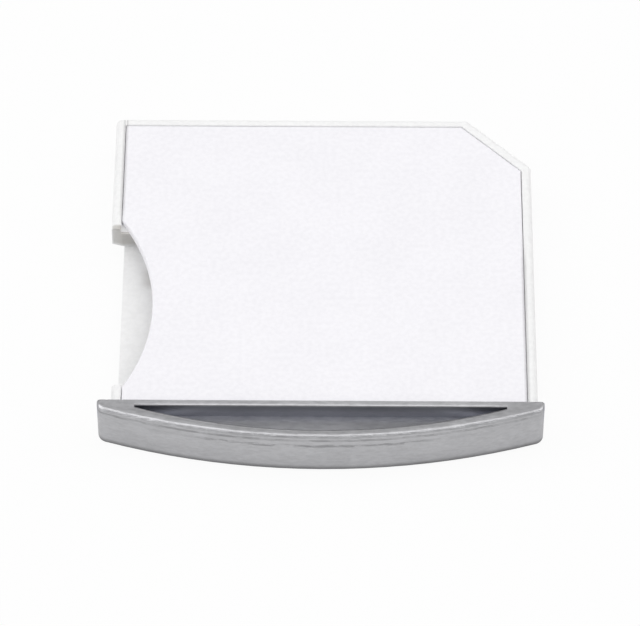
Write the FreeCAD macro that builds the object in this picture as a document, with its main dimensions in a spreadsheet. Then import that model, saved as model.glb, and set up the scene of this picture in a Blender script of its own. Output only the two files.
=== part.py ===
# Memory card adapter: a short full-size card body that takes a small card from its left side,
# and stays in a computer's card slot with only its metal end cap showing.
# Millimetres. X runs across the card, Y is the way the adapter goes in, Z is up, label side up.
# The sizes below are measured from the cap's rear face, where the body starts, and from the
# body's underside. The finished model stands with its origin under the middle of its box.

import FreeCAD, Part
import os

import Sketcher

SIZES = {
    # The full-size card's own body. Its length is the sum of what lies along it.
    "body_width": 24.0,
    "body_height": 2.1,
    "step_height": 0.7,
    "step_width": 0.7,
    "corner_cut": 3.6,
    "corner_round": 0.35,
    "rim_round": 0.3,
    "rail_round": 0.08,
    "stub_inset": 0.4,
    # The lid that is let into the top of the housing.
    "rim_width": 0.55,
    "seam": 0.04,
    "seat_round": 0.1,
    "cover_thick": 0.35,
    "cover_round": 0.1,
    "ledge_width": 0.6,
    # The pocket for the small card, which enters from the left.
    "slot_width": 11.3,
    "slot_margin": 1.35,
    "slot_floor": 0.65,
    "slot_wall": 0.5,
    "flare": 0.18,
    "flare_length": 0.6,
    "key_width": 1.3,
    "key_length": 5.95,
    # The finger notch in the lid over the mouth of the pocket.
    "notch_lap": 0.45,
    "notch_shift": 0.3,
    "notch_depth": 1.91,
    # The nine contact pads under the front edge, spaced over the width of the body.
    "left_margin": 2.27,
    "right_margin": 2.6,
    "first_pitch": 1.7,
    "second_pitch": 2.43,
    "pad_spacing": 0.8,
    "small_pad_width": 1.3,
    "pad_length": 4.1,
    "pad_front": 1.1,
    "pad_gap": 0.19,
    "corner_setback": 1.4,
    "pad_margin": 0.12,
    "entry_depth": 0.5,
    "link_gap": 0.15,
    "link_width": 0.35,
    # The stamped terminals that join the pads to the spring fingers.
    "lead_thick": 0.15,
    "lead_width": 0.28,
    "row_gap": 0.18,
    "column_gap": 0.22,
    "lead_clear": 0.02,
    "side_joint": 0.5,
    "root_run": 0.56,
    "root_cover": 0.75,
    "finger_pitch": 1.1,
    "finger_width": 0.5,
    "finger_offset": 5.0,
    "finger_length": 3.9,
    "finger_dip": 0.4,
    "finger_ramp": 0.8,
    "finger_flat": 0.5,
    "bump_height": 0.2,
    "bump_nose": 0.7,
    "nose_drop": 0.25,
    "recess_margin": 0.25,
    "recess_floor": 0.15,
    # The bars under the lid that stop the small card and hold the terminals down.
    "stop_thick": 1.25,
    "bar_rear": 0.3,
    "bar_front": 0.4,
    "bar_thick": 0.5,
    "bar_clear": 0.5,
    # The leaf spring that catches the notch in the small card's edge.
    "leaf_thick": 0.12,
    "leaf_height": 1.0,
    "leaf_back": 0.35,
    "leaf_anchor": 0.8,
    "leaf_arm": 4.2,
    "leaf_bump": 0.4,
    "leaf_bump_length": 1.6,
    "leaf_room": 0.3,
    "leaf_clear": 0.03,
    # The metal end cap, its fingernail scoop and the tongue that it is glued on.
    "cap_overhang": 0.35,
    "cap_depth": 2.6,
    "cap_end_depth": 0.62,
    "cap_overlap": 0.3,
    "cap_drop": 0.5,
    "cap_end_round": 0.6,
    "cap_edge_round": 0.22,
    "cap_foot_round": 0.15,
    "scoop_margin": 1.32,
    "scoop_end": 0.78,
    "scoop_land": 0.36,
    "scoop_lip": 0.42,
    "scoop_depth": 0.95,
    "scoop_cove": 0.6,
    "scoop_roll": 0.2,
    "land_round": 0.08,
    "tongue_margin": 3.0,
    "tongue_length": 0.9,
    "tongue_height": 0.8,
    "tongue_lift": 0.35,
    "glue_gap": 0.05,
}

TOLERANCE = 1e-5
SWEEP_ANGLE = 90
ARC_MIDDLE = 1 - 0.5 ** 0.5

doc = FreeCAD.newDocument("memory_card_adapter")
sheet = doc.addObject("Spreadsheet::Sheet", "Sizes")


class Size:
    """A length with its present value and the text that works it out from the sheet."""

    def __init__(self, value, text):
        self.value = value
        self.text = text

    def __add__(self, other):
        other = as_size(other)
        return Size(self.value + other.value, "(%s + %s)" % (self.text, other.text))

    def __sub__(self, other):
        other = as_size(other)
        return Size(self.value - other.value, "(%s - %s)" % (self.text, other.text))

    def __rsub__(self, other):
        return as_size(other) - self

    def __mul__(self, other):
        other = as_size(other)
        return Size(self.value * other.value, "(%s * %s)" % (self.text, other.text))

    def __truediv__(self, other):
        other = as_size(other)
        return Size(self.value / other.value, "(%s / %s)" % (self.text, other.text))

    def __neg__(self):
        return Size(-self.value, "(-1 * %s)" % self.text)

    __radd__ = __add__
    __rmul__ = __mul__


def as_size(item):
    """A Size as it is, or a plain number as a Size."""
    if isinstance(item, Size):
        return item
    return Size(float(item), "%s" % item)


def fill_sheet():
    """Write the driving dimensions down the sheet and give each one its name."""
    for row, (name, value) in enumerate(SIZES.items(), start=1):
        sheet.set("A%d" % row, name)
        sheet.set("B%d" % row, str(value))
        sheet.setAlias("B%d" % row, name)
    doc.recompute()


def size(name):
    """The named driving dimension."""
    return Size(SIZES[name], "Sizes.%s" % name)


fill_sheet()

# The eight terminals in the order of their fingers, from the front one back, and the pads that
# each one serves. The two ground pads are one terminal.
TERMINALS = {
    "data_1_terminal": ["data_1"],
    "data_0_terminal": ["data_0"],
    "ground_terminal": ["ground_left", "ground_right"],
    "clock_terminal": ["clock"],
    "supply_terminal": ["supply"],
    "command_terminal": ["command"],
    "data_3_terminal": ["data_3"],
    "data_2_terminal": ["data_2"],
}
FINGER_ORDER = list(TERMINALS)
SIDE_TERMINAL = "data_3_terminal"
CORNER_TERMINAL = "data_2_terminal"
ROWS = FINGER_ORDER.index(SIDE_TERMINAL)

# The pads from the left, with the label up. The first two are small, and the last is set back
# because of the cut corner.
PADS = ["data_1", "data_0", "ground_left", "clock", "supply", "ground_right", "command",
        "data_3", "data_2"]
SMALL_PADS = PADS[:2]
CORNER_PAD = PADS[-1]

# Heights above the body's underside.
BODY_TOP = size("body_height")
COVER_UNDER = BODY_TOP - size("cover_thick")
LEAD_UNDER = size("step_height")
DECK = LEAD_UNDER + size("lead_thick")
SLOT_FLOOR = size("slot_floor")

# Half widths across the body.
SIDE = size("body_width") / 2
RIM_INSIDE = SIDE - size("rim_width")
BAY_SIDE = RIM_INSIDE - size("ledge_width")
LEAD_HALF = size("lead_width") / 2

# The middle of each pad across the body.
PAD_X = {"data_1": -SIDE + size("left_margin")}
PAD_X["data_0"] = PAD_X["data_1"] + size("first_pitch")
PAD_X["ground_left"] = PAD_X["data_0"] + size("second_pitch")
LARGE_PADS = PADS[len(SMALL_PADS):]
PAD_PITCH = (SIDE - size("right_margin") - PAD_X["ground_left"]) / (len(LARGE_PADS) - 1)
for order, pad_name in enumerate(LARGE_PADS):
    PAD_X[pad_name] = PAD_X["ground_left"] + PAD_PITCH * order

PAD_HALF = (PAD_PITCH - size("pad_spacing")) / 2

# The terminals run forward in columns beside the corner pad, which fixes the end of the pocket.
LAST_COLUMN = PAD_X[CORNER_PAD] - PAD_HALF - size("row_gap") - LEAD_HALF
COLUMN_PITCH = size("lead_width") + size("column_gap")
FIRST_COLUMN = LAST_COLUMN - COLUMN_PITCH * ROWS
FINGER_ROOT = FIRST_COLUMN - LEAD_HALF - size("root_run")
FINGER_TIP = FINGER_ROOT - size("finger_length")
STOP = FINGER_ROOT - size("root_cover")

# Places along the body, from the cap's rear face.
SLOT_NEAR = size("slot_margin")
SLOT_FAR = SLOT_NEAR + size("slot_width")
SLOT_MIDDLE = SLOT_NEAR + size("slot_width") / 2
KEY_NEAR = SLOT_NEAR + size("key_width")
KEY_START = STOP - size("key_length")
BAY_NEAR = SLOT_FAR + size("slot_wall")
ROW_PITCH = size("lead_width") + size("row_gap")
FIRST_ROW = BAY_NEAR + ROW_PITCH / 2
PAD_REAR = BAY_NEAR + ROW_PITCH * ROWS + size("pad_gap")
PAD_FRONT = PAD_REAR + size("pad_length")
FRONT = PAD_FRONT + size("pad_front")
RIM_FRONT = FRONT - size("rim_width")
BAY_FRONT = RIM_FRONT - size("ledge_width")
LINK_NEAR = PAD_FRONT + size("link_gap")
LINK_FAR = LINK_NEAR + size("link_width")
FINGER_MIDDLE = SLOT_FAR - size("finger_offset")
FINGER_SPREAD = size("finger_pitch") * (len(FINGER_ORDER) - 1)

# How far a corner cut's ends move when its outline is set in by some width.
CUT_SHIFT = 2 ** 0.5 - 1


def new_body(name):
    """A body that stands at the shared place of the whole adapter."""
    body = doc.addObject("PartDesign::Body", name)
    body.Label = name
    joint_place = (size("cap_depth") - FRONT) / 2
    body.setExpression("Placement.Base.y", joint_place.text)
    body.setExpression("Placement.Base.z", size("cap_drop").text)
    return body


def origin_plane(body, role):
    """One of the body's own origin planes."""
    for item in body.Origin.OriginFeatures:
        if item.Role == role:
            return item
    raise ValueError(role)


def new_sketch(body, name, role, offset):
    """A sketch on one of the body's planes, moved along that plane's normal."""
    sketch = body.newObject("Sketcher::SketchObject", name)
    sketch.AttachmentSupport = (origin_plane(body, role), [""])
    sketch.MapMode = "FlatFace"
    offset = as_size(offset)
    sketch.AttachmentOffset.Base.z = offset.value
    sketch.setExpression("AttachmentOffset.Base.z", offset.text)
    return sketch


def fix_point(sketch, element, end, x, y):
    """Hold one end of a sketch element at a place worked out from the sheet."""
    for kind, place in (("DistanceX", x), ("DistanceY", y)):
        place = as_size(place)
        number = sketch.addConstraint(
            Sketcher.Constraint(kind, -1, 1, element, end, place.value))
        sketch.setExpression("Constraints[%d]" % number, place.text)


def draw_outline(sketch, corners, arcs=None):
    """Draw a closed outline through the corners. An arc passes through the point given for it."""
    arcs = arcs or {}
    count = len(corners)
    points = [FreeCAD.Vector(as_size(x).value, as_size(y).value, 0) for x, y in corners]
    ends = []
    for index in range(count):
        start, stop = points[index], points[(index + 1) % count]
        if index not in arcs:
            element = sketch.addGeometry(Part.LineSegment(start, stop), False)
            ends.append((element, 1, 2))
            continue
        middle_x, middle_y = arcs[index]
        middle = FreeCAD.Vector(as_size(middle_x).value, as_size(middle_y).value, 0)
        element = sketch.addGeometry(Part.ArcOfCircle(start, middle, stop), False)
        if sketch.getPoint(element, 1).distanceToPoint(start) < TOLERANCE:
            ends.append((element, 1, 2))
        else:
            ends.append((element, 2, 1))
        mark = sketch.addGeometry(Part.Point(middle), True)
        fix_point(sketch, mark, 1, middle_x, middle_y)
        sketch.addConstraint(Sketcher.Constraint("PointOnObject", mark, 1, element))
    for index in range(count):
        element, first, last = ends[index]
        following, following_first, following_last = ends[(index + 1) % count]
        sketch.addConstraint(
            Sketcher.Constraint("Coincident", element, last, following, following_first))
        fix_point(sketch, element, first, *corners[index])


def draw_box(sketch, left, right, near, far):
    """Draw a rectangle."""
    draw_outline(sketch, [(left, near), (right, near), (right, far), (left, far)])


def pad(body, name, sketch, length, both_ways=False):
    """Add the sketch's outline as a solid of this length."""
    feature = body.newObject("PartDesign::Pad", name)
    feature.Profile = sketch
    length = as_size(length)
    feature.Length = length.value
    feature.setExpression("Length", length.text)
    feature.Midplane = both_ways
    return feature


def pocket(body, name, sketch, length):
    """Cut the sketch's outline this far down from the sketch."""
    feature = body.newObject("PartDesign::Pocket", name)
    feature.Profile = sketch
    length = as_size(length)
    feature.Length = length.value
    feature.setExpression("Length", length.text)
    return feature


def sweep_cut(body, name, sketch, axis_place):
    """Cut the sketch's outline round an upright axis that stands this far behind the origin."""
    start, stop = FreeCAD.Vector(axis_place.value, 0, 0), FreeCAD.Vector(axis_place.value, 1, 0)
    axis = sketch.addGeometry(Part.LineSegment(start, stop), True)
    fix_point(sketch, axis, 1, axis_place, 0)
    fix_point(sketch, axis, 2, axis_place, 1)
    feature = body.newObject("PartDesign::Groove", name)
    feature.Profile = sketch
    feature.ReferenceAxis = (sketch, ["Axis0"])
    feature.Angle = SWEEP_ANGLE
    feature.Midplane = True
    return feature


def round_edges(body, name, base, radius, is_wanted):
    """Round the edges of the last feature that the test picks out."""
    doc.recompute()
    names = []
    for number, edge in enumerate(base.Shape.Edges, start=1):
        if is_wanted(edge):
            names.append("Edge%d" % number)
    if not names:
        raise ValueError("%s finds no edge" % name)
    feature = body.newObject("PartDesign::Fillet", name)
    feature.Base = (base, names)
    feature.Radius = radius.value
    feature.setExpression("Radius", radius.text)
    return feature


def is_upright(edge):
    """True for a straight edge along Z."""
    first, last = edge.Vertexes[0].Point, edge.Vertexes[-1].Point
    sideways = (first - last).cross(FreeCAD.Vector(0, 0, 1)).Length
    return sideways < TOLERANCE < edge.Length


def lies_at(edge, height):
    """True for an edge that lies wholly at one height."""
    box = edge.BoundBox
    return abs(box.ZMin - height.value) < TOLERANCE and abs(box.ZMax - height.value) < TOLERANCE


def cut_corner_outline(side, near, front, inset):
    """The card's outline with its cut corner, set in from the card's own edge."""
    cut = size("corner_cut") - inset * CUT_SHIFT
    return [
        (-side, near),
        (side, near),
        (side, front - cut),
        (side - cut, front),
        (-side, front),
    ]


def plate_outline():
    """The narrower lower part of the body, with the same cut corner line."""
    side = SIDE - size("step_width")
    cut = size("corner_cut") - size("step_width")
    return [(-side, 0), (side, 0), (side, FRONT - cut), (side - cut, FRONT), (-side, FRONT)]


def pad_half_width(pad_name):
    """Half the width of one contact pad."""
    return size("small_pad_width") / 2 if pad_name in SMALL_PADS else PAD_HALF


def pad_ends(pad_name):
    """The rear and front of one contact pad."""
    setback = size("corner_setback") if pad_name == CORNER_PAD else as_size(0)
    return PAD_REAR - setback, PAD_FRONT - setback


def finger_place(name):
    """The place of a terminal's finger along the body."""
    first = FINGER_MIDDLE + FINGER_SPREAD / 2
    return first - size("finger_pitch") * FINGER_ORDER.index(name)


def column_place(name):
    """The place across the body of the stretch that runs forward from a finger."""
    if name == CORNER_TERMINAL:
        return PAD_X[CORNER_PAD]
    return FIRST_COLUMN + COLUMN_PITCH * FINGER_ORDER.index(name)


def row_place(name):
    """The place along the body of the stretch that runs across to a pad."""
    return FIRST_ROW + ROW_PITCH * FINGER_ORDER.index(name)


def lead_outline(name, grow):
    """The flat part of a terminal: pad, run across, run forward and root of its finger."""
    half = LEAD_HALF + grow
    main = TERMINALS[name][0]
    pad_half = pad_half_width(main) + grow
    middle = PAD_X[main]
    left, right = middle - pad_half, middle + pad_half
    rear, front = pad_ends(main)
    rear, front = rear - grow, front + grow
    column = column_place(name)
    finger = finger_place(name)
    root = [
        (column + half, finger - half),
        (FINGER_ROOT - grow, finger - half),
        (FINGER_ROOT - grow, finger + half),
        (column - half, finger + half),
    ]
    if name == CORNER_TERMINAL:
        return [
            (left, rear), (left, front), (right, front), (right, rear),
            (column + half, rear), *root, (column - half, rear),
        ]
    if name == SIDE_TERMINAL:
        joint = PAD_REAR + size("side_joint")
        return [
            (left, rear), (left, front), (right, front), (right, joint + half),
            (column + half, joint + half), *root,
            (column - half, joint - half), (right, joint - half), (right, rear),
        ]
    row = row_place(name)
    front_end = [(left, front), (right, front)]
    if len(TERMINALS[name]) > 1:
        other = PAD_X[TERMINALS[name][1]]
        front_end = [
            (left, LINK_FAR + grow), (other + pad_half, LINK_FAR + grow),
            (other + pad_half, rear), (other - pad_half, rear),
            (other - pad_half, LINK_NEAR - grow), (right, LINK_NEAR - grow),
        ]
    return [
        (left, rear), *front_end, (right, rear),
        (middle + half, rear), (middle + half, row + half),
        (column + half, row + half), *root,
        (column - half, row - half), (middle - half, row - half),
        (middle - half, rear),
    ]


def finger_outline():
    """The side view of a spring finger, from its root to its nose."""
    thick = size("lead_thick")
    low = LEAD_UNDER - size("finger_dip")
    crest = SLOT_FLOOR + size("bump_height") - thick
    heel = FINGER_ROOT - size("finger_ramp")
    sole = heel - size("finger_flat")
    bump = FINGER_TIP + size("bump_nose")
    under = [
        (FINGER_ROOT + thick, LEAD_UNDER),
        (FINGER_ROOT, LEAD_UNDER),
        (heel, low),
        (sole, low),
        (bump, crest),
        (FINGER_TIP, crest - size("nose_drop")),
    ]
    over = [(x, z + thick) for x, z in reversed(under)]
    return under + over


def make_terminal(name):
    """One stamped and bent terminal, with its contact pad and its spring finger."""
    body = new_body(name)
    flat = new_sketch(body, name + "_flat", "XY_Plane", LEAD_UNDER)
    draw_outline(flat, lead_outline(name, 0))
    pad(body, name + "_strip", flat, size("lead_thick"))
    side = new_sketch(body, name + "_side", "XZ_Plane", -finger_place(name))
    draw_outline(side, finger_outline())
    pad(body, name + "_finger", side, size("finger_width"), both_ways=True)
    return body


def make_cover():
    """The lid: a flat plate with a finger notch, and the bars that press on the terminals."""
    body = new_body("top_cover")
    side = RIM_INSIDE - size("seam")
    front = RIM_FRONT - size("seam")
    inset = size("rim_width") + size("seam")
    outline = cut_corner_outline(side, size("seam"), front, inset)[1:]
    notch_middle = SLOT_MIDDLE + size("notch_shift")
    notch_half = size("slot_width") / 2 + size("notch_lap")
    near_side = side - size("stub_inset")
    outline += [
        (-side, notch_middle + notch_half),
        (-near_side, notch_middle - notch_half),
        (-near_side, size("seam")),
    ]
    plate = new_sketch(body, "cover_outline", "XY_Plane", COVER_UNDER)
    draw_outline(plate, outline, {len(outline) - 3: (size("notch_depth") - side, notch_middle)})
    lid = pad(body, "cover_plate", plate, size("cover_thick"))
    lid = round_edges(body, "cover_top_round", lid, size("cover_round"),
                      lambda edge: lies_at(edge, BODY_TOP))

    clear = size("bar_clear")
    bars = new_sketch(body, "hold_down_bars", "XY_Plane", DECK)
    draw_box(bars, STOP, STOP + size("stop_thick"), KEY_NEAR + clear, SLOT_FAR - clear)
    rear_bar = PAD_REAR + size("bar_rear")
    draw_box(bars, -BAY_SIDE + clear, BAY_SIDE - clear, rear_bar, rear_bar + size("bar_thick"))
    front_bar = PAD_FRONT - size("bar_front") - size("bar_thick")
    right_end = SIDE - size("corner_cut") - clear
    draw_box(bars, -BAY_SIDE + clear, right_end, front_bar, front_bar + size("bar_thick"))
    pad(body, "cover_bars", bars, COVER_UNDER - DECK)
    return body


def is_seat_rim(edge):
    """True for a top edge of the recess that the lid is let into."""
    box = edge.BoundBox
    across = max(box.XMax, -box.XMin) < RIM_INSIDE.value + TOLERANCE
    return lies_at(edge, BODY_TOP) and across and box.YMax < RIM_FRONT.value + TOLERANCE


def make_housing():
    """The tray: stepped rails, rim, card pocket, terminal grooves and contact windows."""
    body = new_body("base_housing")
    lower = new_sketch(body, "plate_outline", "XY_Plane", 0)
    draw_outline(lower, plate_outline())
    pad(body, "lower_plate", lower, size("step_height"))
    upper = new_sketch(body, "rail_outline", "XY_Plane", size("step_height"))
    draw_outline(upper, cut_corner_outline(SIDE, 0, FRONT, as_size(0)))
    shell = pad(body, "rails", upper, BODY_TOP - size("step_height"))
    shell = round_edges(body, "corner_rounds", shell, size("corner_round"),
                        lambda edge: is_upright(edge) and edge.BoundBox.YMin > TOLERANCE)
    shell = round_edges(body, "rim_round", shell, size("rim_round"),
                        lambda edge: lies_at(edge, BODY_TOP) and edge.BoundBox.YMax > TOLERANCE)
    round_edges(body, "underside_round", shell, size("rail_round"),
                lambda edge: lies_at(edge, as_size(0)) and edge.BoundBox.YMax > TOLERANCE)

    past = SIDE + size("flare_length")
    stub_side = SIDE - size("stub_inset")
    rounding = size("rim_round")
    stub = new_sketch(body, "stub_profile", "XZ_Plane", 0)
    draw_outline(stub, [
        (-past, size("step_height")),
        (-stub_side, size("step_height")),
        (-stub_side, BODY_TOP - rounding),
        (-stub_side + rounding, BODY_TOP),
        (-stub_side + rounding, BODY_TOP + rounding),
        (-past, BODY_TOP + rounding),
    ], {2: (rounding * ARC_MIDDLE - stub_side, BODY_TOP - rounding * ARC_MIDDLE)})
    pocket(body, "stub_cut", stub, SLOT_MIDDLE)

    near_side = RIM_INSIDE - size("stub_inset")
    lid_seat = new_sketch(body, "lid_seat", "XY_Plane", BODY_TOP)
    draw_outline(lid_seat, [
        *cut_corner_outline(RIM_INSIDE, -FRONT, RIM_FRONT, size("rim_width"))[1:],
        (-RIM_INSIDE, SLOT_MIDDLE),
        (-near_side, SLOT_MIDDLE),
        (-near_side, -FRONT),
    ])
    pocket(body, "lid_recess", lid_seat, size("cover_thick"))

    mouth = SIDE - size("flare_length")
    channel = new_sketch(body, "card_channel", "XY_Plane", BODY_TOP)
    draw_outline(channel, [
        (-past, SLOT_NEAR - size("flare")),
        (-SIDE, SLOT_NEAR - size("flare")),
        (-mouth, SLOT_NEAR),
        (KEY_START, SLOT_NEAR),
        (KEY_START, KEY_NEAR),
        (STOP, KEY_NEAR),
        (STOP, SLOT_FAR),
        (-mouth, SLOT_FAR),
        (-SIDE, SLOT_FAR + size("flare")),
        (-past, SLOT_FAR + size("flare")),
    ])
    shell = pocket(body, "card_pocket", channel, BODY_TOP - SLOT_FLOOR)
    round_edges(body, "seat_round", shell, size("seat_round"), is_seat_rim)

    bay_cut = size("corner_cut") - (size("rim_width") + size("ledge_width")) * CUT_SHIFT
    bay = new_sketch(body, "terminal_bay", "XY_Plane", BODY_TOP)
    draw_outline(bay, [
        (STOP, KEY_NEAR),
        (BAY_SIDE, KEY_NEAR),
        (BAY_SIDE, BAY_FRONT - bay_cut),
        (BAY_SIDE - bay_cut, BAY_FRONT),
        (-BAY_SIDE, BAY_FRONT),
        (-BAY_SIDE, BAY_NEAR),
        (STOP, BAY_NEAR),
    ])
    pocket(body, "bay_pocket", bay, BODY_TOP - DECK)

    for name in TERMINALS:
        groove = new_sketch(body, name + "_groove_outline", "XY_Plane", DECK)
        draw_outline(groove, lead_outline(name, size("lead_clear")))
        pocket(body, name + "_groove", groove, size("lead_thick"))

    half_row = (FINGER_SPREAD + size("finger_width")) / 2 + size("recess_margin")
    recess = new_sketch(body, "finger_recess_outline", "XY_Plane", DECK)
    draw_box(recess, FINGER_TIP - size("recess_margin"),
             FINGER_ROOT + size("lead_thick") + size("lead_clear"),
             FINGER_MIDDLE - half_row, FINGER_MIDDLE + half_row)
    pocket(body, "finger_recess", recess, DECK - size("recess_floor"))

    windows = new_sketch(body, "window_outlines", "XY_Plane", LEAD_UNDER)
    entries = new_sketch(body, "entry_outlines", "XY_Plane", size("entry_depth"))
    for pad_name, place in PAD_X.items():
        half = pad_half_width(pad_name) - size("pad_margin")
        rear, front = pad_ends(pad_name)
        rear, front = rear + size("pad_margin"), front - size("pad_margin")
        draw_box(windows, place - half, place + half, rear, front)
        draw_box(entries, place - half, place + half, front - size("pad_margin"), FRONT + half)
    pocket(body, "contact_windows", windows, LEAD_UNDER)
    pocket(body, "contact_entries", entries, size("entry_depth"))

    leaf_near = SLOT_NEAR - size("leaf_back") - size("leaf_thick")
    room = size("leaf_room")
    arm_start, arm_end = leaf_arm_ends()
    nest = new_sketch(body, "leaf_nest", "XY_Plane", COVER_UNDER)
    clear = size("leaf_clear")
    draw_outline(nest, [
        (arm_start - size("leaf_anchor"), leaf_near - clear),
        (arm_start, leaf_near - clear),
        (arm_start, leaf_near - room),
        (arm_end + room, leaf_near - room),
        (arm_end + room, SLOT_NEAR),
        (arm_start, SLOT_NEAR),
        (arm_start, leaf_near + size("leaf_thick") + clear),
        (arm_start - size("leaf_anchor"), leaf_near + size("leaf_thick") + clear),
    ])
    pocket(body, "leaf_pocket", nest, COVER_UNDER - SLOT_FLOOR)

    tongue = new_sketch(body, "tongue_outline", "XY_Plane", size("tongue_lift"))
    half = SIDE - size("tongue_margin")
    draw_box(tongue, -half, half, -size("tongue_length"), 0)
    pad(body, "tongue", tongue, size("tongue_height"))
    return body


def leaf_arm_ends():
    """Where the free arm of the card's leaf spring starts and ends across the body."""
    end = KEY_START - size("leaf_room") * 2
    return end - size("leaf_arm") - size("leaf_bump_length"), end


def make_leaf():
    """The leaf spring: an anchored strip with a bump that stands out into the card pocket."""
    body = new_body("card_detent_spring")
    start, end = leaf_arm_ends()
    near = SLOT_NEAR - size("leaf_back") - size("leaf_thick")
    bump = end - size("leaf_bump_length") / 2
    crest = SLOT_NEAR + size("leaf_bump") - size("leaf_thick")
    back = [
        (start - size("leaf_anchor"), near),
        (end - size("leaf_bump_length"), near),
        (bump, crest),
        (end, near),
    ]
    face = [(x, y + size("leaf_thick")) for x, y in reversed(back)]
    plan = new_sketch(body, "leaf_plan", "XY_Plane", SLOT_FLOOR)
    draw_outline(plan, back + face)
    pad(body, "leaf_strip", plan, size("leaf_height"))
    return body


def make_cap():
    """The end cap: a bar with a bowed front face, a fingernail scoop and a socket behind."""
    body = new_body("end_cap")
    half = SIDE + size("cap_overhang")
    top = BODY_TOP + size("cap_overlap")
    bottom = -size("cap_drop")
    plan = new_sketch(body, "cap_plan", "XY_Plane", bottom)
    draw_outline(plan, [
        (half, 0),
        (-half, 0),
        (-half, -size("cap_end_depth")),
        (half, -size("cap_end_depth")),
    ], {2: (0, -size("cap_depth"))})
    bar = pad(body, "cap_bar", plan, top - bottom)
    bar = round_edges(body, "cap_ends", bar, size("cap_end_round"),
                      lambda edge: is_upright(edge) and edge.BoundBox.YMax < -TOLERANCE)
    bar = round_edges(body, "cap_foot", bar, size("cap_foot_round"),
                      lambda edge: lies_at(edge, bottom) and edge.BoundBox.YMin < -TOLERANCE)
    round_edges(body, "cap_edges", bar, size("cap_edge_round"),
                lambda edge: lies_at(edge, top) and edge.BoundBox.YMin < -TOLERANCE)

    land = size("scoop_land")
    scoop_front = size("scoop_lip") - size("cap_depth")
    bow = -scoop_front - land
    half_scoop = half - size("scoop_margin")
    radius = half_scoop * half_scoop / bow / 2 + bow / 2
    floor = top - size("scoop_depth")
    roll, cove = size("scoop_roll"), size("scoop_cove")
    wall = scoop_front + roll
    scoop = new_sketch(body, "scoop_profile", "YZ_Plane", 0)
    draw_outline(scoop, [
        (scoop_front, top),
        (wall, top - roll),
        (wall, floor + cove),
        (wall + cove, floor),
        (land, floor),
        (land, top),
    ], {
        0: (wall - roll * ARC_MIDDLE, top - roll * ARC_MIDDLE),
        2: (wall + cove * ARC_MIDDLE, floor + cove * ARC_MIDDLE),
    })
    sweep_cut(body, "scoop", scoop, scoop_front + radius)

    rounding = size("land_round")
    strip = new_sketch(body, "scoop_land_profile", "YZ_Plane", 0)
    draw_outline(strip, [
        (0, bottom),
        (-land, bottom),
        (-land, top - rounding),
        (-land + rounding, top),
        (0, top),
    ], {2: (rounding * ARC_MIDDLE - land, top - rounding * ARC_MIDDLE)})
    pad(body, "scoop_land", strip, (half - size("cap_end_round")) * 2, both_ways=True)

    end = half_scoop - size("scoop_end")
    past = half_scoop + rounding
    ends = new_sketch(body, "scoop_end_profile", "XZ_Plane", land / 2)
    for side in (-1, 1):
        draw_outline(ends, [
            (end * side, bottom),
            (past * side, bottom),
            (past * side, top),
            ((end + rounding) * side, top),
            (end * side, top - rounding),
        ], {3: ((end + rounding * ARC_MIDDLE) * side, top - rounding * ARC_MIDDLE)})
    tip_slope = half_scoop / (radius - bow)
    pad(body, "scoop_ends", ends, land / 2 + size("scoop_end") * tip_slope + rounding)

    half_socket = SIDE - size("tongue_margin") + size("glue_gap")
    socket = new_sketch(body, "socket_plan", "XY_Plane",
                        size("tongue_lift") + size("tongue_height") + size("glue_gap"))
    draw_box(socket, -half_socket, half_socket,
             -size("tongue_length") - size("glue_gap"), size("glue_gap"))
    pocket(body, "tongue_socket", socket, size("tongue_height") + size("glue_gap") * 2)
    return body


def check_model(bodies):
    """Stop with a plain message if any object failed or any part isn't one valid solid."""
    for item in doc.Objects:
        if "Invalid" in item.State or "Error" in item.State:
            raise RuntimeError("%s failed: %s" % (item.Name, item.State))
    for body in bodies:
        shape = body.Shape
        if shape.isNull() or not shape.isValid() or len(shape.Solids) != 1:
            raise RuntimeError("%s is not one valid solid" % body.Label)


def main():
    bodies = [make_housing(), make_cover(), make_leaf(), make_cap()]
    for name in TERMINALS:
        bodies.append(make_terminal(name))
    doc.recompute()
    check_model(bodies)
    os.makedirs("parts", exist_ok=True)
    for body in bodies:
        body.Shape.exportStep("parts/%s.step" % body.Label)
        box = body.Shape.BoundBox
        print("%-20s volume %8.3f  x %.2f %.2f  y %.2f %.2f  z %.2f %.2f" % (
            body.Label, body.Shape.Volume, box.XMin, box.XMax, box.YMin, box.YMax,
            box.ZMin, box.ZMax))


main()
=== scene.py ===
"""Looks of a memory card adapter: white moulded card body with a satin metal grip end."""

import math

import bmesh
import bpy
from mathutils import Matrix, Vector


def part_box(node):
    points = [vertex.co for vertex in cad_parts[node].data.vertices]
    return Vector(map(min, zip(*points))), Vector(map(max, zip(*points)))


MM = 0.001

# The photograph's view, fitted to the lid's seam, the cap's edges and the body's outline.
IMAGE_WIDTH = 640
FOCAL_PIXELS = 4556.85
SENSOR = 36.0
LOOK_AT = Vector((-0.081, -2.794, 2.6)) * MM
DISTANCE = 255.568 * MM
ELEVATION = math.radians(50.0)
AZIMUTH = math.radians(0.31)
ROLL = math.radians(0.072)
NEAREST = 10 * MM
FARTHEST = 5000 * MM

# In the groups below, a pair of colours is the darker and the lighter one. A pair of places is
# where a mark starts to rise or fall and where that ends. Three of them are a band: its middle,
# half its full width, and the width over which it fades. A pair of strengths is the one off
# the mark it belongs to and the one on it. Drops are measured down from the top of the piece.

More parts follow.
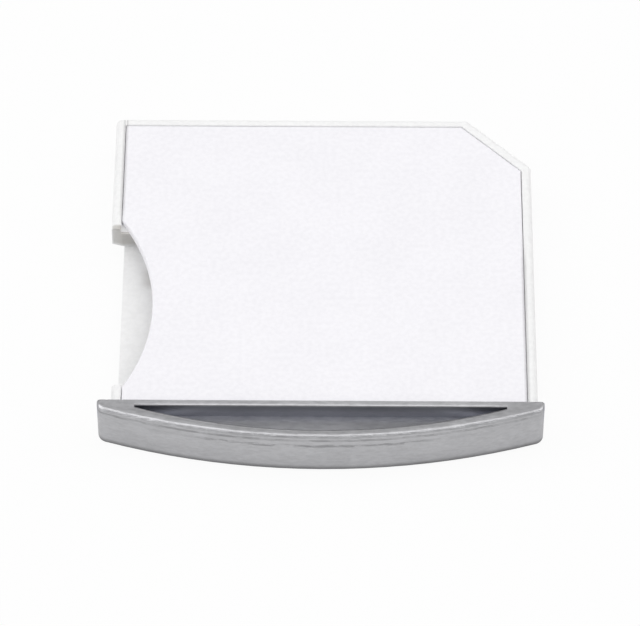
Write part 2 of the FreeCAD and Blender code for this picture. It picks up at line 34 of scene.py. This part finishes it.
# White plastic. The lid is a trace bluer than the housing. Most of a noise is in its range.
HOUSING_WHITE = ((0.89, 0.89, 0.89, 1.0), (0.945, 0.945, 0.945, 1.0))
LID_WHITE = ((0.894, 0.884, 0.92, 1.0), (0.95, 0.94, 0.974, 1.0))
NOISE_RANGE = (0.3, 0.7)
PLASTIC_CLOUD = {"size": 3 * MM, "detail": 3.0}
PLASTIC_MOTTLE = {"size": 0.26 * MM}
CLOUD_SHARE = 0.3
MOTTLE_SHARE = 0.7
PLASTIC_REFLECTION = 0.45
HOUSING_ROUGHNESS = 0.32
LID_ROUGHNESS = 0.4
MOTTLE_ROUGHNESS = 0.12
SPARKS = {"size": 0.07 * MM, "detail": 3.0, "rough": 0.6}
HOUSING_SPARK_DEPTH = 0.0012 * MM
LID_SPARK_DEPTH = 0.0022 * MM

# The seam round the lid. Painted shade greys its rounded edges on the left, past the finger
# notch, and on the near part of the right.
SEAM_SHADE_GREY = (0.2, 0.2, 0.2, 1.0)
SEAM_SHADE_STRENGTH = 0.32
HALF_SEAM = 0.02 * MM
SEAM_START = (0.01 * MM, 0.06 * MM)
SEAM_END = (0.06 * MM, 0.2 * MM)
SEAM_DROP = (0.08 * MM, 0.12 * MM)
SEAM_SIDES = (-1 * MM, 1 * MM)
LEFT_SEAM = (3.6 * MM, 5.4 * MM)
RIGHT_SEAM = (0.5 * MM, 3 * MM)

# Painted shade on the left rail's cut end at the mouth. It lies on the end face and over the top
# edge, and grows from the outside inwards.
PAINTED_SHADE = (0.44, 0.42, 0.385, 1.0)
END_SHADE_STRENGTH = (0.4, 0.65)
END_SHADE_GROWTH = (-0.1 * MM, 0.6 * MM)
RAIL_END = 3.37 * MM
END_FACE = (0.0, 0.08 * MM, 0.02 * MM)
END_FACE_DROP = (1.1 * MM, 1.45 * MM)
END_FACE_WIDTH = (1.4 * MM, 2.2 * MM)
TOP_EDGE_DROP = (0.1 * MM, 0.2 * MM)
TOP_EDGE_START = (-0.1 * MM, 0.0)
TOP_EDGE_END = (0.2 * MM, 0.42 * MM)
TOP_EDGE_WIDTH = (0.6 * MM, 1 * MM)
TOP_EDGE_STRENGTH = 1.25

# A painted shadow of the lid's edge on the pocket's floor, in the finger notch.
NOTCH_SHADOW = (0.9 * MM, 0.35 * MM, 0.65 * MM)
NOTCH_SHADOW_START = (1.5 * MM, 2.15 * MM)
NOTCH_SHADOW_END = (2.6 * MM, 3.4 * MM)
NOTCH_SHADOW_STRENGTH = 0.36
POCKET_FLOOR = (1.15 * MM, 0.1 * MM, 0.1 * MM)

# The cap's metal: its tone, from the darker to the lighter grey, its roughness and its relief,
# and what the grain, the cloud and the marks add to them.
CAP_GREY = ((0.388, 0.388, 0.401, 1.0), (0.624, 0.624, 0.641, 1.0))
CAP_GRAIN = {"size": 0.2 * MM, "stretch": (2.4, 1.0, 0.8), "detail": 4.0, "rough": 0.65}
CAP_CLOUD = {"size": 1.6 * MM, "stretch": (1.6, 1.0, 0.7), "detail": 3.0}
CAP_DENTS = {"size": 0.8 * MM, "stretch": (1.8, 1.0, 1.0)}
CAP_TONE = 0.08
GRAIN_TONE = 0.34
CLOUD_TONE = 0.5
CAP_ROUGHNESS = 0.34
GRAIN_ROUGHNESS = 0.1
WORN_ROUGHNESS = 0.2
CORNER_ROUGHNESS = 0.05
SCOOP_ROUGHNESS = 0.1
CAP_RELIEF = 0.06 * MM
GRAIN_RELIEF = 0.03
CLOUD_RELIEF = 0.05
DENT_RELIEF = (0.3, 1.0)
DENT_HEIGHT = (0.1 * MM, 0.6 * MM)
NICK_RELIEF = 0.24
WORN_RELIEF = 0.15

# The cap's bowed front face and the scoop's lip are parts of cylinders round upright lines:
# the place of each line along Y, and the cylinder's radius.
CAP_BOW = (27.87 * MM, 39.82 * MM)
SCOOP_BOW = (22.8 * MM, 34.33 * MM)

# Marks on the cap's front: the worn line that wanders and breaks up, the dark lines at the upper
# edge with painted shade over its corner and a painted highlight along it, and painted shade at
# the foot. Skins are measured inwards from the bowed face.
FRONT_SKIN = (0.1 * MM, 0.25 * MM)
WORN_LINE = (0.78 * MM, 0.06 * MM, 0.09 * MM)
WORN_DARK = 0.2
WANDER = 0.24 * MM
BREAKS = {"size": 0.45 * MM, "stretch": (2.6, 1.0, 0.5), "detail": 4.0, "rough": 0.7}
BREAKS_RANGE = (0.43, 0.57)
HANDLED = (-0.4 * MM, 5 * MM, 2 * MM)
HANDLED_STRENGTH = (0.3, 1.2)
EDGE_LINE = (0.32 * MM, 0.05 * MM, 0.08 * MM)
EDGE_LINE_DARK = (0.1, 0.34)
CORNER = (0.07 * MM, 0.05 * MM, 0.04 * MM)
CORNER_HIGHLIGHT_DIM = 0.08
CREST_DROP = (0.1 * MM, 0.18 * MM)
CREST_SKIN = (0.2 * MM, 0.28 * MM)
CREST_LEFT = (-8 * MM, -1 * MM)
CREST_HIGHLIGHT = (0.09, 0.2)
FOOT = (0.1 * MM, 0.5 * MM)
FOOT_SHADE = 0.55

# Painted shade and painted highlights in and round the scoop, and a bluer tint in it. The wall
# and the ridge are measured from the cap's rear face, and the lip and the strip ahead of it from
# the scoop's bow.
SCOOP_TOP = (0.06 * MM, 0.16 * MM)
SCOOP_BOTTOM = (0.98 * MM, 1.1 * MM)
SCOOP_BLUE = (0.46, 0.50, 0.68, 1.0)
SCOOP_BLUE_SHARE = (0.06, 0.19)
WALL = (0.45 * MM, 0.95 * MM)
WALL_TOP = (0.2 * MM, 0.6 * MM)
SCOOP_WALL_SHADE = (0.06, 0.3)
FLOOR_MIDDLE = (-0.7 * MM, 1.5 * MM, 3 * MM)
SCOOP_FLOOR_SHADE = (0.395, 0.28)
LIP = (-0.1 * MM, 0.08 * MM, 0.04 * MM)
LIP_HIGHLIGHT = 0.3
CAP_TOP = (0.02 * MM, 0.06 * MM)
STRIP = (0.0, 0.32 * MM)
STRIP_SHADE = 0.22
LAND = (0.0, 8 * MM, 3 * MM)
RIDGE = (0.15 * MM, 0.25 * MM)
RIDGE_HIGHLIGHT = (0.04, 0.23)
ENDS_SHADE = 0.1

# Rolled strip: the plated terminals and the leaf spring.
GOLD = ((0.83, 0.55, 0.20, 1.0), (0.93, 0.68, 0.32, 1.0))
STEEL = ((0.505, 0.50, 0.495, 1.0), (0.6262, 0.62, 0.6138, 1.0))
PLATING_CLOUD = {"size": 0.6 * MM, "detail": 3.0}
TERMINAL_LINES = {"size": 0.05 * MM, "stretch": (1.0, 12.0, 1.0), "detail": 3.0}
SPRING_LINES = {"size": 0.05 * MM, "stretch": (12.0, 1.0, 1.0), "detail": 3.0}
TERMINAL_ROUGHNESS = 0.2
SPRING_ROUGHNESS = 0.22
LINES_ROUGHNESS = 0.16
LINES_DEPTH = 0.001 * MM

# The floor, how far it shows as plain white to the camera and in mirrors, and the room's
# light all round, overhead, overhead behind, and low down in front.
WHITE = (1.0, 1.0, 1.0, 1.0)
FLOOR_WHITE = (0.85, 0.85, 0.85, 1.0)
FLOOR_ROUGHNESS = 0.9
FLOOR_SIZE = 1500 * MM
FLOOR_SEEN = 0.93
FLOOR_MIRRORED = 0.4
ROOM_LIGHT = 0.26
OVERHEAD_LIGHT = 0.16
REAR_LIGHT = 0.24
LOW_LIGHT = 0.3
OVERHEAD = (0.05, 0.75)
REAR = (-0.65, 0.65)
LOW = (0.2, 0.2, 0.2)

# Each lamp's name, width and depth, place, and power in watts.
LAMPS = (
    ("overhead", (0.9, 0.45), (0.0, 0.03, 0.6), 1.25),
    ("left", (0.5, 0.4), (-0.55, 0.05, 0.42), 1.25),
    ("right", (0.5, 0.4), (0.55, 0.05, 0.42), 0.95),
)


class Value:
    """A shader socket on which sums can be written as plain expressions."""

    def __init__(self, nodes, socket):
        self.nodes = nodes
        self.socket = socket

    def math(self, operation, *values):
        """What a Math node makes of these values."""
        return self.nodes.make("ShaderNodeMath", {"operation": operation}, dict(enumerate(values)))

    def __add__(self, other):
        return self.math("ADD", self, other)

    def __sub__(self, other):
        return self.math("SUBTRACT", self, other)

    def __rsub__(self, other):
        return self.math("SUBTRACT", other, self)

    def __mul__(self, other):
        return self.math("MULTIPLY", self, other)

    __radd__ = __add__
    __rmul__ = __mul__

    def rise(self, low, high):
        """0 up to low and 1 from high on, with a soft step between."""
        return self.nodes.make("ShaderNodeMapRange", {"interpolation_type": "SMOOTHSTEP"},
                               {"Value": self, "From Min": low, "From Max": high})

    def fall(self, low, high):
        """1 up to low and 0 from high on, with a soft step between."""
        return 1 - self.rise(low, high)

    def away(self, middle):
        """The distance to the middle, on either side."""
        return self.math("ABSOLUTE", self - middle)

    def band(self, middle, half, soft):
        """1 within half of the middle, fading out over soft."""
        return self.away(middle).fall(half, half + soft)

    def between(self, first, second):
        """The first value where this is 0 and the second where it is 1."""
        return first + self * (second - first)


class Nodes:
    """A node tree that is built from values and expressions."""

    def __init__(self, tree):
        self.tree = tree

    def make(self, kind, settings=None, sockets=None, output=0):
        """Any node, with its settings and the values or links of its sockets."""
        made = self.tree.nodes.new(kind)
        for name, value in (settings or {}).items():
            setattr(made, name, value)
        for name, value in (sockets or {}).items():
            self.feed(made.inputs[name], value)
        return Value(self, made.outputs[output])

    def feed(self, socket, value):
        """Link a value to the socket, or set the socket to a number or a colour."""
        if isinstance(value, Value):
            self.tree.links.new(value.socket, socket)
        else:
            socket.default_value = value

    def axes(self, vector):
        """The vector's X, Y and Z."""
        return [self.make("ShaderNodeSeparateXYZ", None, {"Vector": vector}, output=letter)
                for letter in "XYZ"]


class Finish(Nodes):
    """A material that ends in one Principled BSDF."""

    def __init__(self, name, sockets):
        self.material = bpy.data.materials.new(name)
        self.material.use_nodes = True
        super().__init__(self.material.node_tree)
        self.surface = self.tree.nodes["Principled BSDF"]
        self.set(sockets)
        self.place = self.make("ShaderNodeTexCoord", output="Object")

    def set(self, sockets):
        """Set or link the shader's own sockets."""
        for name, value in sockets.items():
            self.feed(self.surface.inputs[name], value)

    def noise(self, size, stretch=(1, 1, 1), detail=2.0, rough=0.5):
        """Cloudy noise about 0.5 with patches of this size, drawn out by stretch."""
        scale = [1 / (size * part) for part in stretch]
        mapped = self.make("ShaderNodeMapping", None, {"Vector": self.place, "Scale": scale})
        sockets = {"Vector": mapped, "Scale": 1.0, "Detail": detail, "Roughness": rough}
        return self.make("ShaderNodeTexNoise", None, sockets)

    def tint(self, factor, first, second):
        """The first colour where the factor is 0 and the second where it is 1."""
        return self.make("ShaderNodeMix", {"data_type": "RGBA"},
                         {"Factor": factor, 6: first, 7: second}, output=2)

    def dim(self, colour, factor):
        """The colour, brighter or darker by this factor."""
        return self.make("ShaderNodeVectorMath", {"operation": "SCALE"},
                         {0: colour, "Scale": factor})

    def reach(self, y):
        """The distance from the upright line at this place along Y."""
        moved = self.make("ShaderNodeVectorMath", {"operation": "SUBTRACT"},
                          {0: self.place, 1: (0, y, 0)})
        flat = self.make("ShaderNodeVectorMath", {"operation": "MULTIPLY"},
                         {0: moved, 1: (1, 1, 0)})
        return self.make("ShaderNodeVectorMath", {"operation": "LENGTH"}, {0: flat},
                         output="Value")

    def relief(self, height, depth):
        """Raise the surface by this depth where the height is 1."""
        bump = self.make("ShaderNodeBump", None, {"Height": height, "Distance": depth})
        self.set({"Normal": bump})


def seam_painted_shade(finish):
    """Where painted shade greys the rounded edges of the seam along the lid's two sides."""
    across, along, height = finish.axes(finish.place)
    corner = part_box("top_cover")[1]
    away = across.away(0.0).away(corner.x + HALF_SEAM)
    edges = away.rise(*SEAM_START) * away.fall(*SEAM_END)
    right = across.rise(*SEAM_SIDES)
    parts = right.between(along.rise(*LEFT_SEAM), along.fall(*RIGHT_SEAM))
    return edges * parts * (corner.z - height).fall(*SEAM_DROP)


def white_plastic(name, shades, roughness, spark_depth):
    """Moulded white plastic with a fine spark texture from the tool and painted shade along the
    lid's seam, and its colour.
    """
    finish = Finish(name, {"Specular IOR Level": PLASTIC_REFLECTION})
    cloud = finish.noise(**PLASTIC_CLOUD).rise(*NOISE_RANGE)
    mottle = finish.noise(**PLASTIC_MOTTLE).rise(*NOISE_RANGE)
    colour = finish.tint(cloud * CLOUD_SHARE + mottle * MOTTLE_SHARE, *shades)
    # Painted shade on the seam's rounded edges.
    colour = finish.tint(seam_painted_shade(finish) * SEAM_SHADE_STRENGTH, colour, SEAM_SHADE_GREY)
    finish.set({"Base Color": colour, "Roughness": roughness + mottle * MOTTLE_ROUGHNESS})
    finish.relief(finish.noise(**SPARKS), spark_depth)
    return finish, colour


def lid_white():
    """The lid's matt outer face."""
    finish, _ = white_plastic("lid_white", LID_WHITE, LID_ROUGHNESS, LID_SPARK_DEPTH)
    return finish.material


def housing_white():
    """The housing's smoother plastic, with painted shade at the left rail's end and a painted
    shadow in the notch.
    """
    finish, colour = white_plastic("housing_white", HOUSING_WHITE, HOUSING_ROUGHNESS,
                                   HOUSING_SPARK_DEPTH)
    across, along, height = finish.axes(finish.place)
    low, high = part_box("base_housing")
    inward = across - low.x
    beyond = along - RAIL_END
    drop = high.z - height

    # Painted shade on the rail's cut end face and over its top edge, deeper inwards.
    end_face = beyond.band(*END_FACE) * drop.fall(*END_FACE_DROP)
    top_edge = beyond.rise(*TOP_EDGE_START) * beyond.fall(*TOP_EDGE_END)
    top_edge = top_edge * inward.fall(*TOP_EDGE_WIDTH) * TOP_EDGE_STRENGTH
    wear_and_shade = drop.fall(*TOP_EDGE_DROP).between(end_face, top_edge)
    wear_and_shade = wear_and_shade * inward.fall(*END_FACE_WIDTH)
    end_shade = wear_and_shade * inward.rise(*END_SHADE_GROWTH).between(*END_SHADE_STRENGTH)

    # Painted shadow of the lid's edge on the notch's floor.
    notch_shadow = along.band(*NOTCH_SHADOW) * inward.rise(*NOTCH_SHADOW_START) * inward.fall(*NOTCH_SHADOW_END)
    notch_shadow = notch_shadow * height.band(*POCKET_FLOOR) * NOTCH_SHADOW_STRENGTH
    # The painted shade and the painted shadow both take the colour towards one brownish grey.
    finish.set({"Base Color": finish.tint(end_shade + notch_shadow, colour, PAINTED_SHADE)})
    return finish.material


class CapFront:
    """The marks on the cap's bowed front face, with its painted highlight and painted shade, and
    what they add to its brightness.
    """

    def __init__(self, finish, dents):
        across, _, height = finish.axes(finish.place)
        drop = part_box("end_cap")[1].z - height
        middle, radius = CAP_BOW
        skin = radius - finish.reach(middle)
        self.face = skin.fall(*FRONT_SKIN)
        self.broken = finish.noise(**BREAKS).rise(*BREAKS_RANGE)

        handled = across.band(*HANDLED).between(*HANDLED_STRENGTH)
        wandering = (drop - dents * WANDER).band(*WORN_LINE)
        self.worn_line = wandering * self.broken * handled * self.face
        self.corner = drop.band(*CORNER) * self.face
        edge_line = drop.band(*EDGE_LINE) * self.face * self.broken.between(*EDGE_LINE_DARK)
        # Painted shade at the foot, darker towards the bottom edge.
        foot = height.fall(*FOOT) * self.face
        # Painted highlight along the rounded upper edge, stronger on the left.
        crest_highlight = drop.fall(*CREST_DROP) * skin.fall(*CREST_SKIN)
        crest_highlight = crest_highlight * across.fall(*CREST_LEFT).between(*CREST_HIGHLIGHT)

        # The worn line's own darkening, and painted shade over the corner that dims and breaks up
        # the highlight.
        dark = self.worn_line * WORN_DARK + self.corner * self.broken * CORNER_HIGHLIGHT_DIM
        self.light = crest_highlight - dark - edge_line - foot * FOOT_SHADE

    def relief(self, finish, dents):
        """Soft dents that end above the foot, the nicked upper edge and the worn line."""
        height = finish.axes(finish.place)[2]
        soft = dents * self.face.between(*DENT_RELIEF) * height.rise(*DENT_HEIGHT)
        nicks = self.corner * (self.broken - 0.5) * NICK_RELIEF
        return soft + nicks - self.worn_line * WORN_RELIEF


class CapScoop:
    """The painted shade and painted highlights in and round the cap's scoop, and what they add to
    its brightness.
    """

    def __init__(self, finish, face):
        across, along, height = finish.axes(finish.place)
        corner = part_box("end_cap")[1]
        drop = corner.z - height
        forward = corner.y - along
        middle, radius = SCOOP_BOW
        past = finish.reach(middle) - radius
        inside = 1 - face

        self.wall = forward.fall(*WALL)
        ahead = 1 - self.wall
        # Painted shade in the scoop: on its wall, darkest at the top, and on its floor, darker
        # towards the ends.
        self.sunk = drop.rise(*SCOOP_TOP) * drop.fall(*SCOOP_BOTTOM) * inside
        floor = ahead * across.band(*FLOOR_MIDDLE).between(*SCOOP_FLOOR_SHADE)
        recess_shade = self.sunk * (self.wall * drop.fall(*WALL_TOP).between(*SCOOP_WALL_SHADE) + floor)

        # Painted highlights on the ridge behind the scoop and on its lip, and painted shade at the
        # top's ends and on the strip ahead of the scoop.
        top = drop.fall(*CAP_TOP)
        land = across.band(*LAND)
        ridge = self.wall * land * forward.rise(*RIDGE).between(*RIDGE_HIGHLIGHT)
        rear = top * inside * (ridge - (1 - land) * ENDS_SHADE)
        lip = past.band(*LIP) * ahead * inside
        strip = top * past.fall(*STRIP) * ahead
        self.light = rear + lip * LIP_HIGHLIGHT - strip * STRIP_SHADE - recess_shade


def cap_metal():
    """Satin grey metal with a fine grain, handling wear, a worn line below the top edge, and
    painted highlights and painted shade on the front and in and round the scoop.
    """
    finish = Finish("cap_metal", {"Metallic": 1.0})
    grain = finish.noise(**CAP_GRAIN).rise(*NOISE_RANGE)
    cloud = finish.noise(**CAP_CLOUD)
    dents = finish.noise(**CAP_DENTS) - 0.5
    front = CapFront(finish, dents)
    scoop = CapScoop(finish, front.face)

    colour = finish.tint(CAP_TONE + grain * GRAIN_TONE + cloud * CLOUD_TONE, *CAP_GREY)
    blue = scoop.sunk * scoop.wall.between(*SCOOP_BLUE_SHARE)
    colour = finish.tint(blue, colour, SCOOP_BLUE)
    roughness = CAP_ROUGHNESS + grain * GRAIN_ROUGHNESS + scoop.sunk * SCOOP_ROUGHNESS
    # Rougher where worn: on the worn line and the corner.
    wear_and_shade = front.worn_line * WORN_ROUGHNESS + front.corner * CORNER_ROUGHNESS
    finish.set({
        # The marks, with their painted highlights and painted shade, scale the metal's colour.
        "Base Color": finish.dim(colour, 1 + front.light + scoop.light),
        "Roughness": roughness + wear_and_shade,
    })
    relief = front.relief(finish, dents) + grain * GRAIN_RELIEF + cloud * CLOUD_RELIEF
    finish.relief(relief, CAP_RELIEF)
    return finish.material


def rolled_strip(name, pattern, roughness):
    """Metal strip with the fine lines that the rolls leave, and those lines."""
    finish = Finish(name, {"Metallic": 1.0})
    lines = finish.noise(**pattern)
    finish.set({"Roughness": roughness + lines * LINES_ROUGHNESS})
    finish.relief(lines, LINES_DEPTH)
    return finish, lines


def gold_plate():
    """Thin gold plating over nickel on the stamped terminals."""
    finish, _ = rolled_strip("gold_plate", TERMINAL_LINES, TERMINAL_ROUGHNESS)
    finish.set({"Base Color": finish.tint(finish.noise(**PLATING_CLOUD), *GOLD)})
    return finish.material


def spring_steel():
    """Rolled stainless strip."""
    finish, lines = rolled_strip("spring_steel", SPRING_LINES, SPRING_ROUGHNESS)
    finish.set({"Base Color": finish.tint(lines, *STEEL)})
    return finish.material


def finish_nodes(nodes):
    """Give every CAD node the finish of the real piece."""
    finishes = {
        "base_housing": housing_white(),
        "top_cover": lid_white(),
        "end_cap": cap_metal(),
        "card_detent_spring": spring_steel(),
    }
    gold = gold_plate()
    for name, node in nodes.items():
        node.material_slots[0].material = finishes.get(name, gold)


def place_camera():
    """Stand the camera at the photograph's place."""
    data = bpy.data.cameras.new("camera")
    data.sensor_width = SENSOR
    data.lens = FOCAL_PIXELS / IMAGE_WIDTH * SENSOR
    data.clip_start = NEAREST
    data.clip_end = FARTHEST
    level = math.cos(ELEVATION)
    back = Vector((math.sin(AZIMUTH) * level, -math.cos(AZIMUTH) * level, math.sin(ELEVATION)))
    stand = Matrix.Translation(LOOK_AT + back * DISTANCE)
    turn = back.to_track_quat("Z", "Y").to_matrix().to_4x4()
    camera = bpy.data.objects.new("camera", data)
    camera.matrix_world = stand @ turn @ Matrix.Rotation(ROLL, 4, "Z")
    bpy.context.collection.objects.link(camera)
    bpy.context.scene.camera = camera


def floor_white():
    """Table white that shows nearly plain to the camera, and less so in mirrors."""
    finish = Finish("floor_white", {"Base Color": FLOOR_WHITE, "Roughness": FLOOR_ROUGHNESS})
    seen, glossy, through = [
        finish.make("ShaderNodeLightPath", output=f"Is {ray} Ray")
        for ray in ("Camera", "Glossy", "Transmission")
    ]
    plain = finish.make("ShaderNodeEmission", None, {"Color": WHITE, "Strength": 1.0})
    shaded = Value(finish, finish.surface.outputs[0])
    shown = seen * FLOOR_SEEN + (glossy + through) * FLOOR_MIRRORED
    mix = finish.make("ShaderNodeMixShader", None, {0: shown, 1: shaded, 2: plain})
    finish.feed(finish.tree.nodes["Material Output"].inputs["Surface"], mix)
    return finish.material


def lay_floor():
    """A plain white table top that keeps a faint shadow."""
    mesh = bpy.data.meshes.new("floor")
    shape = bmesh.new()
    bmesh.ops.create_grid(shape, x_segments=1, y_segments=1, size=FLOOR_SIZE)
    shape.to_mesh(mesh)
    shape.free()
    mesh.materials.append(floor_white())
    floor = bpy.data.objects.new("floor", mesh)
    bpy.context.collection.objects.link(floor)


def hang_lamp(name, size, place, power):
    """A soft rectangular lamp that points at the object."""
    data = bpy.data.lights.new(name, "AREA")
    data.shape = "RECTANGLE"
    data.size, data.size_y = size
    data.energy = power
    lamp = bpy.data.objects.new(name, data)
    turn = Vector(place).to_track_quat("Z", "Y").to_matrix().to_4x4()
    lamp.matrix_world = Matrix.Translation(place) @ turn
    bpy.context.collection.objects.link(lamp)


def light_studio():
    """Plain soft studio light: a pale room, brighter overhead and low in front, and lamps."""
    world = bpy.data.worlds.new("studio")
    world.use_nodes = True
    nodes = Nodes(world.node_tree)
    _, along, height = nodes.axes(nodes.make("ShaderNodeTexCoord", output="Generated"))
    rear = along.rise(*REAR)
    overhead = height.rise(*OVERHEAD) * (OVERHEAD_LIGHT + REAR_LIGHT * rear)
    low_front = height.band(*LOW) * (1 - rear) * LOW_LIGHT
    background = world.node_tree.nodes["Background"].inputs
    nodes.feed(background["Strength"], ROOM_LIGHT + overhead + low_front)
    nodes.feed(background["Color"], WHITE)
    bpy.context.scene.world = world
    for lamp in LAMPS:
        hang_lamp(*lamp)


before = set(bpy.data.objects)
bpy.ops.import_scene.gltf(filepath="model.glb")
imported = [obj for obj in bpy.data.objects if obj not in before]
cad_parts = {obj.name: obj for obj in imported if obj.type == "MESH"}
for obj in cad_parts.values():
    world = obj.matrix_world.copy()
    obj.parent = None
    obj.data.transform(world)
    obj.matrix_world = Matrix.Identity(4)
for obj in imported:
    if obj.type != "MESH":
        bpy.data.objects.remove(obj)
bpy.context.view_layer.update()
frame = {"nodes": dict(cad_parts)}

finish_nodes(frame["nodes"])
lay_floor()
light_studio()
place_camera()
bpy.context.scene.view_settings.view_transform = "Standard"
